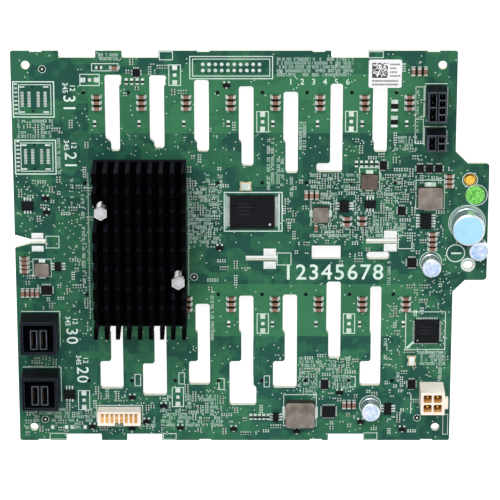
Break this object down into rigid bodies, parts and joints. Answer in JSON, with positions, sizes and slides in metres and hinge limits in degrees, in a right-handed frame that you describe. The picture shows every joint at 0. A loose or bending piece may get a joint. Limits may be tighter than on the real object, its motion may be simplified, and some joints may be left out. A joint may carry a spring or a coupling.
{
  "type": "drive backplane board",
  "caption": "Flat green backplane circuit board with rows of drive connectors underneath, air slots, a black finned heat sink, power and data headers and round capacitors.",
  "frame": {"origin": "centre of the overall outline in X and Y, at the tips of the drive connectors on the underside", "axes": "+X along the rows of bays towards the side ear, +Y towards the edge nearest the upper row, +Z out of the component side"},
  "size_m": [0.1944, 0.1694, 0.0337],
  "materials": {
    "green_mask": "green solder mask over glass-fibre laminate, satin",
    "black_anodised": "black anodised extrusion",
    "black_epoxy": "moulded black epoxy",
    "black_plastic": "moulded black plastic",
    "thermal_pad": "grey gap pad",
    "white_nylon": "white nylon",
    "cream_nylon": "natural nylon",
    "steel_wire": "spring wire",
    "gold_plate": "gold plated",
    "tinned_metal": "tinned",
    "can_aluminium": "bare aluminium can",
    "inductor_ferrite": "moulded iron powder, taupe",
    "capacitor_ceramic": "fired ceramic with tinned ends",
    "resistor_ceramic": "black film on ceramic",
    "crystal_ceramic": "beige ceramic case",
    "label_paper": "white label",
    "green_sticker": "round green sticker"
  },
  "bodies": {
    "root": {"barcode_label": "label_paper", "ceramic_capacitors": "capacitor_ceramic", "circuit_board": "green_mask", "controller_chip": "black_epoxy", "controller_chip_leads": "tinned_metal", "crystals": "crystal_ceramic", "data_socket_contacts": "gold_plate", "data_socket_lower_insert": "black_plastic", "data_socket_lower_shell": "black_plastic", "data_socket_upper_insert": "black_plastic", "data_socket_upper_shell": "black_plastic", "diodes": "black_epoxy", "drive_connector_01": "black_plastic", "drive_connector_02": "black_plastic", "drive_connector_03": "black_plastic", "drive_connector_04": "black_plastic", "drive_connector_05": "black_plastic", "drive_connector_06": "black_plastic", "drive_connector_07": "black_plastic", "drive_connector_08": "black_plastic", "drive_connector_09": "black_plastic", "drive_connector_10": "black_plastic", "drive_connector_11": "black_plastic", "drive_connector_12": "black_plastic", "drive_connector_13": "black_plastic", "drive_connector_14": "black_plastic", "drive_connector_15": "black_plastic", "drive_connector_16": "black_plastic", "drive_connector_contacts": "gold_plate", "expander_chip": "black_epoxy", "flash_chip": "black_epoxy", "flash_chip_leads": "tinned_metal", "gold_stud": "gold_plate", "heat_sink": "black_anodised", "inductor_1": "inductor_ferrite", "inductor_2": "inductor_ferrite", "inductor_3": "inductor_ferrite", "inductor_4": "inductor_ferrite", "inductor_5": "inductor_ferrite", "inductor_terminals": "tinned_metal", "inspection_sticker": "green_sticker", "large_capacitor_can": "can_aluminium", "power_header_4_way": "black_plastic", "power_header_8_way": "black_plastic", "power_header_pins": "tinned_metal", "push_pin_left": "white_nylon", "push_pin_right": "white_nylon", "push_pin_springs": "steel_wire", "resistors": "resistor_ceramic", "signal_header": "cream_nylon", "signal_header_pins": "gold_plate", "small_capacitor_cans": "can_aluminium", "small_chips": "black_epoxy", "solder_tails": "tinned_metal", "thermal_pad": "thermal_pad", "transistors": "black_epoxy", "white_power_header": "cream_nylon", "white_power_header_pins": "tinned_metal"}
  },
  "joints": []
}
